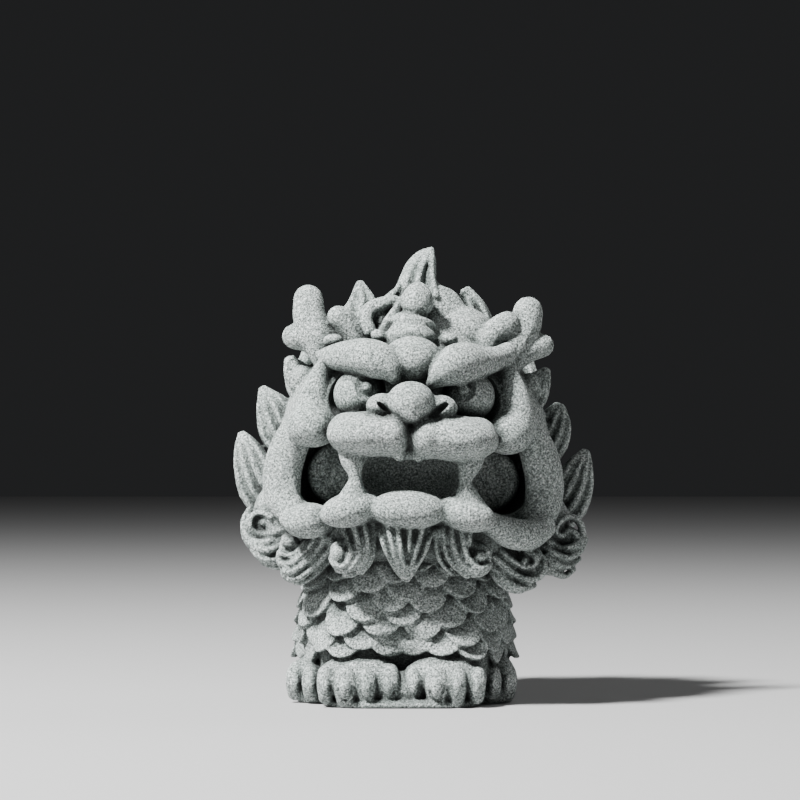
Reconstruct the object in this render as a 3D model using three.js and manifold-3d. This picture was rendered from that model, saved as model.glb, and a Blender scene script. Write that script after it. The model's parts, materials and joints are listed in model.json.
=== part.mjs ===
// A small qilin figure, cast in one piece from coarse sandstone: a great horned head with a
// gaping mouth, a flame mane and a curled beard, on a squat scaled body with clawed paws.
// Millimetres, +Z up, the face looks along -Y. The origin is at the middle of the footprint
// of the whole figure, on the ground.
import * as THREE from "three";
import { mergeVertices } from "three/addons/utils/BufferGeometryUtils.js";
import Module from "manifold-3d";

const wasm = await Module();
wasm.setup();

// Driving sizes, in millimetres and degrees.
const HEIGHT = 100; // from the ground to the tip of the crest
const BASE_THICKNESS = 2.6; // the flat foot that joins the four paws
const HEAD_LEAN = 2.2; // the head leans over to the figure's left by this many degrees

// The carving below keeps its proportions: lengths are in hundredths of the height.
const SHARE = HEIGHT / 100;
const BODY_X = -1.7; // the body stands this far off the middle of the whole footprint,
const BODY_Y = 2.6; // and this far back
const NECK_X = -1.3; // the head leans about a line this far off the middle,
const NECK_Z = 10.5; // at this height above the ground
const SIDES = [-1, 1];
const FACE_X = -1.2; // the face is this far off the middle of the head and its mane
const FRONT = [0, -1, 0];

const point = (p) => new THREE.Vector3(...p).multiplyScalar(SHARE);
const mirrored = ([x, y, z], side) => [x * side, y, z];
const mirroredPath = (path, side) => path.map((p) => mirrored(p, side));
const between = (a, b, t) => a + (b - a) * t;

// A value at t, from 0 to 1, in a row of evenly spaced values.
function along(values, t) {
  const place = Math.min(t, 1) * (values.length - 1);
  const i = Math.min(Math.floor(place), values.length - 2);
  return between(values[i], values[i + 1], place - i);
}

// Where forms are placed: upright on the body's axis, or leaning with the head.
const onBody = new THREE.Matrix4().makeTranslation(BODY_X * SHARE, BODY_Y * SHARE, 0);
const onHead = new THREE.Matrix4()
  .makeTranslation(NECK_X * SHARE, BODY_Y * SHARE, NECK_Z * SHARE)
  .multiply(new THREE.Matrix4().makeRotationY(THREE.MathUtils.degToRad(HEAD_LEAN)))
  .multiply(new THREE.Matrix4().makeTranslation(0, 0, -NECK_Z * SHARE));

// A closed three.js geometry as a solid, with its faces pointing out.
function solid(geometry, placed) {
  const bare = geometry.clone().applyMatrix4(placed);
  bare.deleteAttribute("normal");
  bare.deleteAttribute("uv");
  const merged = mergeVertices(bare, 1e-4);
  return new wasm.Manifold(
    new wasm.Mesh({
      numProp: 3,
      vertProperties: merged.attributes.position.array,
      triVerts: new Uint32Array(merged.index.array),
    }),
  );
}

// An ellipsoid: its middle, its three half sizes, and its turns about X, Y and Z in degrees.
function ball(placed, middle, radii, turns = [0, 0, 0], across = 8, down = 5) {
  const geometry = new THREE.SphereGeometry(1, across, down);
  geometry.scale(...radii.map((r) => r * SHARE));
  const [x, y, z] = turns.map(THREE.MathUtils.degToRad);
  geometry.applyMatrix4(new THREE.Matrix4().makeRotationFromEuler(new THREE.Euler(x, y, z)));
  geometry.translate(...point(middle));
  return solid(geometry, placed);
}

// Outlines that a limb is made of: round, or with a row of ridges on the side that faces out.
function round(corners) {
  const outline = [];
  for (let i = 0; i < corners; i++) {
    const a = (2 * Math.PI * i) / corners;
    outline.push([Math.cos(a), Math.sin(a)]);
  }
  return outline;
}

function fluted(ridges, depth = 0.4) {
  const outline = [];
  const steps = 2 * ridges;
  for (let i = 0; i <= steps; i++) {
    const u = Math.cos((Math.PI * i) / steps);
    const arch = Math.sqrt(Math.max(0, 1 - u * u));
    outline.push([u, arch * (i % 2 ? 1 : 1 - depth)]);
  }
  outline.push([0, -1]);
  return outline;
}

// A limb is a ball whose rings follow a path. Each ring is an outline of its own width, across
// the side that faces out, and its own thickness. A low bluntness gives full, round ends.
function limb(placed, { path, width, thickness, facing, outline = round(6), rings = 5, blunt = 1 }) {
  const curve = new THREE.CatmullRomCurve3(path.map(point));
  const geometry = new THREE.SphereGeometry(1, outline.length, rings);
  const position = geometry.attributes.position;
  const outward = new THREE.Vector3(...(facing ?? FRONT));
  for (let ring = 0; ring <= rings; ring++) {
    const angle = (Math.PI * ring) / rings;
    const t = (1 - Math.cos(angle)) / 2;
    const swell = ring === 0 || ring === rings ? 0 : Math.sin(angle) ** blunt;
    const middle = curve.getPoint(t);
    const tangent = curve.getTangent(t);
    const across = new THREE.Vector3().crossVectors(tangent, outward).normalize();
    const through = new THREE.Vector3().crossVectors(across, tangent).normalize();
    for (let corner = 0; corner <= outline.length; corner++) {
      const [u, v] = outline[corner % outline.length];
      const vertex = middle.clone();
      vertex.addScaledVector(across, u * swell * along(width, t) * SHARE);
      vertex.addScaledVector(through, v * swell * along(thickness ?? width, t) * SHARE);
      position.setXYZ(ring * (outline.length + 1) + corner, ...vertex);
    }
  }
  return solid(geometry, placed);
}

// The same limb on one side of the head.
function sidedLimb(side, { path, facing = FRONT, ...form }) {
  return limb(onHead, { ...form, path: mirroredPath(path, side), facing: mirrored(facing, side) });
}

const join = (solids) => solids.reduce((a, b) => a.add(b));

// The head is one great ball with a jaw and jowls under it, hollowed by the mouth. The throat
// bulges forward again inside the mouth, and a socket is scooped out round each eye.
const HEAD = { middle: [0, 0, 57], radii: [29.5, 28, 27] };
const JAW = { middle: [0, -8, 38], radii: [27, 20, 9.5] };
const JOWL = { middle: [24.5, -3, 39.5], radii: [10.5, 11, 9.5] };
const THROAT = { middle: [0, 6, 48], radii: [23.5, 15, 15] };
const MOUTH = { halfWidth: 25.5, low: 41.5, high: 56.5, corner: 6, back: 3 };
const SOCKET = { offset: [13.6, -27, 67.5], radii: [8, 7, 6.5] };
const EYE = { offset: [12.2, -20.5, 66.8], radius: 5.3 };
const IRIS = { offset: [10.7, -25, 68.6], radii: [2, 1.4, 2] };

function mouthHollow() {
  const { halfWidth, low, high, corner, back } = MOUTH;
  const right = halfWidth - corner;
  const corners = [
    [-right, low + corner],
    [right, low + corner],
    [right, high - corner],
    [-right, high - corner],
  ];
  const outline = new THREE.Shape();
  outline.moveTo(-halfWidth * SHARE, (low + corner) * SHARE);
  corners.forEach(([x, z], i) => {
    const start = Math.PI + (i * Math.PI) / 2;
    outline.absarc(x * SHARE, z * SHARE, corner * SHARE, start, start + Math.PI / 2, false);
  });
  const depth = (HEAD.radii[1] * 2 + back) * SHARE;
  const block = new THREE.ExtrudeGeometry(outline, { depth, bevelEnabled: false, curveSegments: 3 });
  block.rotateX(Math.PI / 2).translate(0, back * SHARE, 0);
  return solid(block, onHead);
}

// A place on the face, from the middle of the face outwards.
const beside = (side, [x, y, z]) => [FACE_X + side * x, y, z];

function skull() {
  let head = ball(onHead, HEAD.middle, HEAD.radii, [0, 0, 0], 16, 7);
  head = head.add(ball(onHead, JAW.middle, JAW.radii, [0, 0, 0], 12, 5));
  for (const side of SIDES) head = head.add(ball(onHead, mirrored(JOWL.middle, side), JOWL.radii));
  head = head.subtract(mouthHollow());
  head = head.add(ball(onHead, THROAT.middle, THROAT.radii, [0, 0, 0], 12, 5));
  for (const side of SIDES) {
    const socket = ball(onHead, beside(side, SOCKET.offset), SOCKET.radii, [0, 0, 0], 6, 4);
    head = head.subtract(socket);
  }
  return head;
}

function eye(side) {
  const { offset, radius } = EYE;
  return [
    ball(onHead, beside(side, offset), [radius, radius, radius], [0, 0, 0], 10, 5),
    ball(onHead, beside(side, IRIS.offset), IRIS.radii, [0, 0, 0], 7, 3),
  ];
}

// The brows frown: each starts high at the temple and comes down beside the nose.
const BROW = {
  path: [[21.5, -13, 75.4], [16, -20, 75.6], [9.8, -25.5, 73.4], [4.6, -27.5, 68.6]],
  width: [2.4, 3.6, 4.7, 4.2],
  thickness: [3, 4, 4.6, 4],
  blunt: 0.55,
  rings: 6,
  outline: round(7),
};

// The nose has a wing on each side, over two puffed pads, and a bulge stands between the brows.
const NOSE = { middle: [FACE_X, -32.5, 64.7], radii: [4.9, 6, 4.9] };
const WING = { offset: [6.6, -31, 64.2], radii: [3.4, 3.4, 2.4], droop: 14 };
const PAD = { offset: [9.4, -28, 57.4], radii: [9.7, 9.5, 5.6], droop: 2 };
const FOREHEAD = { middle: [FACE_X, -22.5, 74.2], radii: [6.4, 6, 5.4] };

function nose() {
  const forms = [
    ball(onHead, NOSE.middle, NOSE.radii, [0, 0, 0], 10, 6),
    ball(onHead, FOREHEAD.middle, FOREHEAD.radii),
  ];
  for (const side of SIDES) {
    forms.push(ball(onHead, beside(side, WING.offset), WING.radii, [0, side * WING.droop, 0]));
    forms.push(ball(onHead, beside(side, PAD.offset), PAD.radii, [0, side * PAD.droop, 0], 10, 6));
  }
  return forms;
}

// The gum shows under the pads, and a waisted fang on each side joins the two jaws.
const GUM = { middle: [FACE_X, -26, 53.5], radii: [11, 7, 2.6] };
const FANG = {
  path: [[11.8, -27.5, 55.5], [11.6, -29, 49.5], [10.8, -28, 42.5]],
  width: [3.6, 1.5, 5],
  thickness: [3.6, 2, 4.4],
  blunt: 0.3,
};

// The lower lip runs in lobes: one in the middle and two on each side.
const LIP_MIDDLE = { middle: [FACE_X, -30.5, 42.3], radii: [7.7, 5.4, 4.1] };
const LIP_LOBES = [
  { offset: [12.6, -28.6, 41.6], radii: [6.6, 5, 3.6], droop: 16, turn: -10 },
  { offset: [21.8, -22.4, 38.6], radii: [6, 5.2, 4.1], droop: 24, turn: -30 },
];

function lips() {
  const forms = [ball(onHead, LIP_MIDDLE.middle, LIP_MIDDLE.radii, [0, 0, 0], 10, 6)];
  for (const side of SIDES)
    for (const { offset, radii, droop, turn } of LIP_LOBES)
      forms.push(ball(onHead, beside(side, offset), radii, [0, side * droop, side * turn]));
  return forms;
}

// A round cheek, a strap from the brow down to it, and a thick rim round the mouth's corner.
const CHEEK = { offset: [21.4, -19.5, 60], radii: [6.4, 6.5, 5.8], turn: 30 };
const STRAP = {
  path: [[19.2, -17, 74], [20.6, -18.5, 67], [23, -16.5, 60]],
  width: [1.6, 2.6, 4.4],
  thickness: [3, 3.4, 4],
  facing: [0.5, -1, 0],
  blunt: 0.6,
};
const RIM = {
  path: [[24, -15, 61], [26.6, -13, 54.5], [28, -11.5, 48.5], [27.2, -13, 42.5], [22.5, -18, 38.5]],
  width: [3.6, 4.2, 4.2, 4.2, 3.4],
  thickness: [4, 4, 4, 4, 3],
  facing: [0.6, -1, 0],
  blunt: 0.35,
  rings: 6,
};

// The middle of the beard is a pointed tuft. On each side of it three locks curl outwards.
// A lock turns about a bead, from the inner side round below it, at a reach that shrinks.
const TUFT = {
  path: [[FACE_X, -29.5, 42], [FACE_X, -29.5, 35], [-0.5, -27, 30], [-0.5, -24.5, 25.3]],
  width: [6, 6.4, 4.4, 1],
  thickness: [3, 3.2, 2.4, 1],
  outline: fluted(4),
  blunt: 0.45,
};
const LOCKS = [
  {
    bead: [14.9, -25.5, 32.8],
    radius: 2.3,
    turns: [75, -145],
    reach: [9, 4.4, 3.2, 3, 2.4],
    width: [3, 3.5, 3, 2.4, 1.2],
    thickness: [3.4, 3.4, 3, 2.6],
    facing: [0.15, -1, -0.2],
  },
  {
    bead: [26, -17, 33],
    radius: 2.4,
    turns: [50, -150],
    reach: [9, 5.6, 4.4, 3.9, 2.4],
    width: [3.4, 4.2, 3.8, 3, 1.2],
    thickness: [3.6, 3.6, 3.4, 2.6],
    facing: [0.5, -1, -0.2],
  },
  {
    bead: [33.2, -8, 37.3],
    radius: 2.6,
    turns: [20, -245],
    reach: [7, 6, 3.6, 2.5, 2],
    width: [4.4, 4.6, 2.6, 1.7, 1],
    thickness: [4.4, 4.4, 4, 3, 2.4],
    facing: [0.6, -1, -0.1],
  },
];

function lock(side, { bead, radius, turns, reach, ...form }) {
  const path = [];
  const steps = 6;
  for (let i = 0; i <= steps; i++) {
    const turn = THREE.MathUtils.degToRad(between(turns[0], turns[1], i / steps));
    const r = along(reach, i / steps);
    path.push([bead[0] - r * Math.cos(turn), bead[1], bead[2] + r * Math.sin(turn)]);
  }
  const coiled = { ...form, path, outline: fluted(3, 0.45), blunt: 0.35, rings: 7 };
  return [
    sidedLimb(side, coiled),
    ball(onHead, mirrored(bead, side), [radius, 3, radius], [0, 0, 0], 6, 4),
  ];
}

// The mane's flames are pointed leaves, with a root, a belly and a tip.
const FLAME = { blunt: 0.6, rings: 4, outline: round(5) };
const SIDE_FLAMES = [
  { path: [[25, 2, 38], [33.4, 2, 44], [36, 2, 50.5], [38.8, 4, 58]], width: [4, 6.2, 5, 1.6] },
  { path: [[23, 2, 51], [29, 1, 57], [31.2, 1, 62], [34.4, 3, 68]], width: [4, 5.6, 4.8, 1.5] },
  { path: [[19, -3, 62], [24, -4, 67], [26, -4, 70.5], [28.9, -3, 75.2]], width: [3.6, 4.4, 3.8, 1.4] },
];
const TOP_FLAMES = [
  { path: [[-9.5, 5, 76], [-11.5, 7, 83], [-13.2, 9, 88], [-14, 10, 92.6]], width: [5, 4.6, 3, 1] },
  { path: [[13, 5, 74], [13, 7, 82], [12, 9, 87.5], [9.6, 10, 91.8]], width: [5, 5, 3.6, 1.4] },
];

// Those on the back of the head are set on the great ball in rows.
const BACK_ROWS = [
  { rise: 56, spread: [-36, 0, 36], size: 17 },
  { rise: 22, spread: [-66, -33, 0, 33, 66], size: 18 },
  { rise: -10, spread: [-50, -17, 17, 50], size: 17 },
];

function backFlame(turn, rise, size) {
  const a = THREE.MathUtils.degToRad(turn);
  const e = THREE.MathUtils.degToRad(rise);
  const out = new THREE.Vector3(Math.sin(a) * Math.cos(e), Math.cos(a) * Math.cos(e), Math.sin(e));
  const root = out.clone().multiply(new THREE.Vector3(...HEAD.radii));
  root.add(new THREE.Vector3(...HEAD.middle));
  const up = new THREE.Vector3(0, 0, 1).addScaledVector(out, -out.z).normalize();
  const path = [[-0.4, -3], [0.05, 0.5], [0.4, 2], [0.75, 5]].map(([forward, lift]) => {
    const place = root.clone().addScaledVector(up, forward * size).addScaledVector(out, lift);
    return place.toArray();
  });
  const width = [0.24, 0.4, 0.32, 0.06].map((share) => share * size);
  return limb(onHead, { ...FLAME, path, width, thickness: [2.6, 3, 2.2, 1], facing: out.toArray() });
}

function mane() {
  const forms = [];
  const form = { ...FLAME, thickness: [3, 3.6, 2.8, 1.1] };
  for (const side of SIDES)
    for (const leaf of SIDE_FLAMES)
      forms.push(sidedLimb(side, { ...form, ...leaf, facing: [0.35, -1, 0.1] }));
  for (const leaf of TOP_FLAMES) forms.push(limb(onHead, { ...form, ...leaf }));
  for (const { rise, spread, size } of BACK_ROWS)
    for (const turn of spread) forms.push(backFlame(turn, rise, size));
  return forms;
}

// Each antler has a tall tine, an outer and an inner one, and a bud at its foot.
const TINES = [
  { path: [[17, -9, 71], [21.5, -9, 78], [24.8, -7, 84.5], [24.9, -6, 90]], width: [4, 4.4, 3.6, 3] },
  { path: [[18, -9, 73], [24, -8, 76.5], [30.2, -7, 79]], width: [3, 3.8, 3] },
  { path: [[15, -9, 74], [17.4, -11, 80], [19, -12, 85.8]], width: [3.6, 3.8, 2.9] },
];
const BUD = { middle: [17.2, -17, 79.2], radii: [2.4, 2.6, 2] };

function antler(side) {
  const tines = TINES.map((tine) => sidedLimb(side, { ...tine, blunt: 0.45 }));
  return [...tines, ball(onHead, mirrored(BUD.middle, side), BUD.radii, [0, 0, 0], 6, 4)];
}

// The crest is a cap of hair that rises to a point, with a fold of hair down each side of it.
const CAP = { middle: [1, -2, 74], radii: [15.5, 17, 12.8] };
const CREST = {
  path: [[-0.5, -6, 80], [-0.5, -4, 89], [0, 0, 95], [2, 3, 100.14]],
  width: [10, 6.8, 4.2, 1],
  thickness: [5, 5, 3.6, 1],
  outline: fluted(3, 0.25),
  blunt: 0.5,
};
const FOLD = {
  path: [[7.6, -14, 78], [10.4, -12, 82.5], [8.6, -9.5, 86.8], [2.5, -8, 90]],
  width: [2, 2.6, 2.8, 2.4],
  blunt: 0.5,
};
const PEARL = { offset: [8.2, -16.5, 79.6], radii: [2, 2.4, 1.7] };

function crest() {
  const forms = [ball(onHead, CAP.middle, CAP.radii, [0, 0, 0], 10, 6), limb(onHead, CREST)];
  for (const side of SIDES) {
    forms.push(sidedLimb(side, FOLD));
    forms.push(ball(onHead, beside(side, PEARL.offset), PEARL.radii, [0, 0, 0], 6, 3));
  }
  return forms;
}

// A short horn stands in front of the crest: two rings round a stem, under a knob. Each row is
// a radius and its height up the horn.
const HORN = { foot: [FACE_X - 0.4, -15.5, 79], slope: 70 };
const HORN_PROFILE = [
  [0, -3],
  [4.8, -2],
  [5.5, 0],
  [4.2, 1.5],
  [4.7, 3],
  [3.5, 4.6],
  [3, 6.4],
  [4, 8.8],
  [3, 11.4],
  [0, 12.2],
];

function horn() {
  const profile = HORN_PROFILE.map(([r, h]) => new THREE.Vector2(r * SHARE, h * SHARE));
  const turned = new THREE.LatheGeometry(profile, 7);
  turned.rotateX(THREE.MathUtils.degToRad(HORN.slope));
  turned.translate(...point(HORN.foot));
  return solid(turned, onHead);
}

// The body's outline at each height is the outer edge of round columns: two forelegs, two
// haunches, a belly and a back, with a full chest above them. It tapers towards the neck.
const COLUMNS = [
  { x: -9.6, y: -14.6, r: 10 },
  { x: 9.6, y: -14.6, r: 10 },
  { x: -14.4, y: 5, r: 10.3 },
  { x: 14.4, y: 5, r: 10.3 },
  { x: 0, y: 0, r: 18.5 },
  { x: 0, y: 9.5, r: 17 },
];
const CHEST = { y: -10, z: 28, r: 14, halfHeight: 14 };
const TAPER = [0.95, 1, 0.98, 0.92, 0.84, 0.68]; // from the ground up to the body's top
const BODY_TOP = 37;

// Its scales overlap in rows that are staggered by half a scale. Each row's lower edge is
// scalloped, and stands out by a lip over the row below.
const SCALES = { perRow: 14, rows: 4, lowest: 11.4, step: 4, drop: 3.1, lip: 1, undercut: 0.35 };

// How far the body reaches from its axis, in one direction and at one height.
function bodyReach(angle, z) {
  const dx = Math.cos(angle);
  const dy = Math.sin(angle);
  const rise = (z - CHEST.z) / CHEST.halfHeight;
  const chest = { x: 0, y: CHEST.y, r: CHEST.r * Math.sqrt(Math.max(0, 1 - rise * rise)) };
  let reach = 0;
  for (const { x, y, r } of [...COLUMNS, chest]) {
    const nearest = dx * x + dy * y;
    const square = r * r - x * x - y * y + nearest * nearest;
    if (square > 0) reach = Math.max(reach, nearest + Math.sqrt(square));
  }
  return reach * along(TAPER, z / BODY_TOP);
}

function scaledBody() {
  const { perRow, rows, lowest, step, drop, lip, undercut } = SCALES;
  const perScale = 4;
  const columns = perRow * perScale;
  const rings = [{ z: () => BODY_TOP, lift: 0 }];
  for (let row = rows - 1; row >= 0; row--) {
    const edge = (column) => {
      const shift = row % 2 ? perScale / 2 : 0;
      const place = ((column + shift) % perScale) / (perScale / 2) - 1;
      return lowest + row * step + drop * (1 - Math.sqrt(1 - place * place));
    };
    rings.push({ z: edge, lift: lip }, { z: (column) => edge(column) - undercut, lift: 0 });
  }
  rings.push({ z: () => 0, lift: 0 });
  const geometry = new THREE.CylinderGeometry(1, 1, 1, columns, rings.length - 1);
  const position = geometry.attributes.position;
  for (let i = 0; i < position.count; i++) {
    const x = position.getX(i);
    const y = position.getZ(i);
    const ring = rings[Math.round((0.5 - position.getY(i)) * (rings.length - 1))];
    if (Math.hypot(x, y) < 0.5) {
      position.setXYZ(i, 0, 0, ring.z(0) * SHARE);
      continue;
    }
    const angle = Math.atan2(-y, x);
    const column = Math.round((columns * (angle + Math.PI)) / (2 * Math.PI)) % columns;
    const z = ring.z(column);
    const reach = (bodyReach(angle, z) + ring.lift) * SHARE;
    position.setXYZ(i, reach * Math.cos(angle), reach * Math.sin(angle), z * SHARE);
  }
  return solid(geometry, onBody);
}

// A paw rolls over from the leg to the ground, and its toes are the ridges of its outline.
const FORE_PAW = {
  path: [[9.6, -15, 11], [9.6, -20.5, 8], [9.6, -22.5, 4], [9.6, -22.5, -2]],
  width: [6.5, 9, 9.6, 9.6],
  thickness: [4, 5.2, 6, 6],
  facing: [0, -1, 0.35],
  outline: fluted(5, 0.3),
};
const HIND_PAW = {
  path: [[18, -1, 9], [19.6, -6.5, 7], [20.6, -9.5, 3.6], [20.8, -10, -2]],
  width: [4, 5.2, 5.6, 5.6],
  thickness: [4, 4.6, 5, 5],
  facing: [0.5, -1, 0.3],
  outline: fluted(3, 0.3),
  shift: -1.6, // both hind paws stand this far towards the figure's right
};

function paw(side, { path, facing, shift = 0, ...form }) {
  const placed = mirroredPath(path, side).map(([x, y, z]) => [x + shift, y, z]);
  return limb(onBody, { ...form, path: placed, facing: mirrored(facing, side), blunt: 0.45, rings: 6 });
}

// The tail is three flames up the back of the body.
const TAIL_MIDDLE = {
  path: [[0, 22, 6], [0, 29, 14], [0, 29, 24], [0, 33, 33]],
  width: [4, 5.4, 4.6, 1],
};
const TAIL_SIDE = {
  path: [[5, 20, 5], [8.5, 26, 11], [9.5, 26, 18], [13, 29, 25]],
  width: [3, 4.4, 3.8, 1],
};

function tail() {
  const form = { ...FLAME, thickness: [3, 3.6, 3, 1], facing: [0, 1, 0.2], rings: 5 };
  const flames = [limb(onBody, { ...form, ...TAIL_MIDDLE })];
  for (const side of SIDES)
    flames.push(limb(onBody, { ...form, ...TAIL_SIDE, path: mirroredPath(TAIL_SIDE.path, side) }));
  return flames;
}

// The four paws stand on one flat foot.
const FOOT = { halfWidth: 19, halfDepth: 24.5, forward: 1 };

function foot() {
  const slab = new THREE.CylinderGeometry(1, 1, 1, 14, 1).rotateX(Math.PI / 2);
  slab.scale(FOOT.halfWidth * SHARE, FOOT.halfDepth * SHARE, BASE_THICKNESS);
  slab.translate(0, -FOOT.forward * SHARE, BASE_THICKNESS / 2);
  return solid(slab, onBody);
}

// Everything is cast as one, then ground flat underneath.
function figure() {
  const head = [skull(), ...nose(), ball(onHead, GUM.middle, GUM.radii), ...lips(), limb(onHead, TUFT)];
  head.push(...crest(), horn(), ...mane());
  for (const side of SIDES) {
    head.push(...eye(side), sidedLimb(side, BROW), sidedLimb(side, FANG), ...antler(side));
    head.push(ball(onHead, beside(side, CHEEK.offset), CHEEK.radii, [0, 0, side * CHEEK.turn]));
    head.push(sidedLimb(side, STRAP), sidedLimb(side, RIM));
    for (const form of LOCKS) head.push(...lock(side, form));
  }
  const body = [scaledBody(), ...tail(), foot()];
  for (const side of SIDES) body.push(paw(side, FORE_PAW), paw(side, HIND_PAW));
  const ground = new THREE.BoxGeometry(2 * HEIGHT, 2 * HEIGHT, HEIGHT).translate(0, 0, -HEIGHT / 2);
  return join([...head, ...body]).subtract(solid(ground, new THREE.Matrix4()));
}

// The solid as a geometry, on the ground, with the middle of its footprint at the origin.
function geometryOf(made) {
  const mesh = made.getMesh();
  const geometry = new THREE.BufferGeometry();
  geometry.setAttribute("position", new THREE.BufferAttribute(mesh.vertProperties, mesh.numProp));
  geometry.setIndex(new THREE.BufferAttribute(mesh.triVerts, 1));
  geometry.computeBoundingBox();
  const { min, max } = geometry.boundingBox;
  geometry.translate(-(min.x + max.x) / 2, -(min.y + max.y) / 2, -min.z);
  return geometry;
}

const sandstone = new THREE.MeshStandardMaterial({ color: 0xaeb8b0, roughness: 0.95, metalness: 0 });
const qilin = new THREE.Mesh(geometryOf(figure()), sandstone);
qilin.name = "qilin_figure";

const group = new THREE.Group();
group.add(qilin);
export default group;
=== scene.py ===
# %% [markdown]
# # A little stone qilin
#
# A qilin is a horned and scaled guardian beast. This one is a small ornament, cast in one piece
# from coarse sandstone: a great head with a gaping mouth sits on a squat body with four paws.
# A carver finds such a figure in three passes: the big masses, then the features, then the
# lines of hair, scale and claw. This lesson follows the same order. Every form starts as a
# plain primitive, is shaped, and at the end all of them are fused into one skin of stone.

# %% Load the frame
import json
import math

import bpy
from mathutils import Matrix, Vector
from mathutils.bvhtree import BVHTree

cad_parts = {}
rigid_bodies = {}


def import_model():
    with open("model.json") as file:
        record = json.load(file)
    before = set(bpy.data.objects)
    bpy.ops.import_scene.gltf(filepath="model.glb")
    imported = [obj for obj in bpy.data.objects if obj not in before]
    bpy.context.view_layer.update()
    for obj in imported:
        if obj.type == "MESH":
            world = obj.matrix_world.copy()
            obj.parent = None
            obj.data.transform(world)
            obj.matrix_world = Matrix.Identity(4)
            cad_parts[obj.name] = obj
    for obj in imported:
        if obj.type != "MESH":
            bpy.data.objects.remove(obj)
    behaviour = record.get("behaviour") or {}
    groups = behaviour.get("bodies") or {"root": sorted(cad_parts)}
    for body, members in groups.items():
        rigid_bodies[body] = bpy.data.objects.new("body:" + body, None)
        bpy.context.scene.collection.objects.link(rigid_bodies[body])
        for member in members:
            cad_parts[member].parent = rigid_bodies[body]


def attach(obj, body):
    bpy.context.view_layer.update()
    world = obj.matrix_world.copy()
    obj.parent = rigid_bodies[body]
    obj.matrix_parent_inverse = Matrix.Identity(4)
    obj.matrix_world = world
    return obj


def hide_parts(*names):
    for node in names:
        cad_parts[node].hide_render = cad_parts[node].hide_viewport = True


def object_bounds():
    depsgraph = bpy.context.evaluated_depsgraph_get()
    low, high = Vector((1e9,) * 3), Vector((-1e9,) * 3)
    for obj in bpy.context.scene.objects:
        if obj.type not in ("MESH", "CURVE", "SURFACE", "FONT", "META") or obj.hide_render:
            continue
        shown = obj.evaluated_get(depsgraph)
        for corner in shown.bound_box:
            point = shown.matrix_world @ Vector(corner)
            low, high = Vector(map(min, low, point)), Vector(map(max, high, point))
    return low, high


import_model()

CAD_LOW, CAD_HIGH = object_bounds()
SHARE = (CAD_HIGH.z - CAD_LOW.z) / 100
print("one hundredth of the height is", round(SHARE * 1000, 3), "mm")

# %% [markdown]
# ## Places and sides
#
# The stone is shaped at a comfortable scale, with one unit for each hundredth of the figure's
# height, and is brought to its real size at the end. The head is carved upright about its own
# axis, then leaned over, because a symmetrical feature is easiest to place before the lean.
# The face itself sits a little to one side of the head's axis.

# %% Places and sides
SIDES = (-1, 1)  # the figure's right, then its left
FACE = -1.2  # the middle of the face, off the head's axis
HEAD_LEAN = math.radians(2.2)
NECK = Vector((-1.592, 2.652, 10.5))  # the head leans about this point
BODY = Vector((-1.992, 2.652, 0))  # the body's axis at the ground


def beside(side, place):
    """A place on the face, from its middle outwards."""
    return (FACE + side * place[0], place[1], place[2])


def mirror(side, place):
    """A place on the head or the body, from its axis outwards."""
    return (side * place[0], place[1], place[2])


def radians(turn):
    return [math.radians(angle) for angle in turn]


print("the head leans", round(math.degrees(HEAD_LEAN), 1), "degrees")

# %% [markdown]
# ## Hand tools
#
# Operators act on whatever is selected, so each tool first picks the shape that it works on. A
# *ball* is a sphere that is squashed and turned. A *limb* is a disc that is extruded ring by
# ring along a smooth path, turned and resized at each step, with rounded ends: it makes brows,
# horns, toes and single strands of hair. A curve with a bevel could do the same, but its
# section can't be flat and round by turns. *Gather* joins loose shapes into one object.

# %% Picking, editing and gathering
def clear():
    bpy.ops.object.select_all(action="DESELECT")


def pick(*shapes):
    """Selects these shapes alone, and makes the first of them the active one."""
    clear()
    for shape in shapes:
        shape.select_set(True)
    bpy.context.view_layer.objects.active = shapes[0]


def edit(shape):
    """Opens a shape for editing, with all of it selected."""
    pick(shape)
    bpy.ops.object.mode_set(mode="EDIT")
    bpy.ops.mesh.select_all(action="SELECT")


def edited():
    """Closes the shape that was open for editing."""
    bpy.ops.object.mode_set(mode="OBJECT")
    return bpy.context.object


def gather(shapes, name):
    pick(*shapes)
    if len(shapes) > 1:
        bpy.ops.object.join()
    made = bpy.context.object
    made.name = name
    return made


# %% Balls and limbs
THINNEST = 0.1  # the least half width of a limb's ring
END_RINGS = (25, 50, 75)  # degrees round a limb's end, where smaller rings round it off


def ball(middle, radii, turn=(0, 0, 0), fine=20):
    clear()
    bpy.ops.mesh.primitive_uv_sphere_add(
        segments=fine, ring_count=fine // 2, radius=1, location=middle, rotation=radians(turn)
    )
    shape = bpy.context.object
    shape.scale = radii
    bpy.ops.object.transform_apply()
    return shape


def through(rows, steps):
    """Rows of numbers on a smooth curve through the given rows."""
    rows = [Vector(row) for row in rows]
    rows = [2 * rows[0] - rows[1], *rows, 2 * rows[-1] - rows[-2]]
    out = []
    for a, b, c, d in zip(rows, rows[1:], rows[2:], rows[3:]):
        for k in range(steps):
            t = k / steps
            bend = (2 * a - 5 * b + 4 * c - d) * t * t + (3 * b - a - 3 * c + d) * t * t * t
            out.append((2 * b + (c - a) * t + bend) / 2)
    return [*out, rows[-2]]


def ring_frame(way, facing):
    """Axes of a ring: across it, out of its front, and along the limb."""
    front = (facing - way * facing.dot(way)).normalized()
    return Matrix((front.cross(way), front, way)).transposed()


def way_at(path, i):
    """The direction of a path at one of its points."""
    ahead, behind = path[min(i + 1, len(path) - 1)], path[max(i - 1, 0)]
    return (Vector(ahead[:3]) - Vector(behind[:3])).normalized()


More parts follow.
